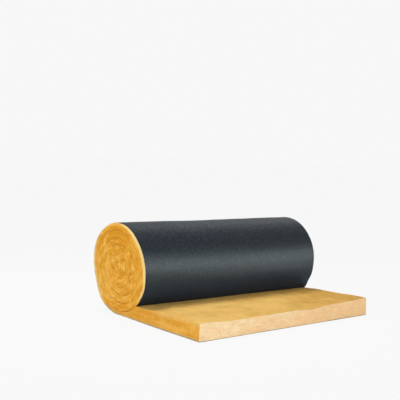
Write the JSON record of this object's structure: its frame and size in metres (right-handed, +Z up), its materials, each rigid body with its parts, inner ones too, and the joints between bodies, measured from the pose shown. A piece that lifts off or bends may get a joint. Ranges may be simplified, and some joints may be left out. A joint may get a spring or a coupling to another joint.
{
  "type": "insulation roll",
  "caption": "Partly unrolled glass-wool insulation blanket with a black fleece facing, wound in a spiral, its square-cut free end flat on the floor.",
  "frame": {"origin": "on the floor, below the middle of the object's box, which covers the roll and its flat free end", "axes": "+X along the roll's axis, +Y from the cut end towards the roll, +Z up"},
  "size_m": [1.2, 0.8886, 0.4748],
  "materials": {
    "glass_wool": "matt, fibrous, yellow glass wool",
    "black_fleece": "matt black glass fleece with a soft sheen"
  },
  "bodies": {
    "root": {"wool_blanket": "glass_wool", "facing": "black_fleece"}
  },
  "joints": []
}
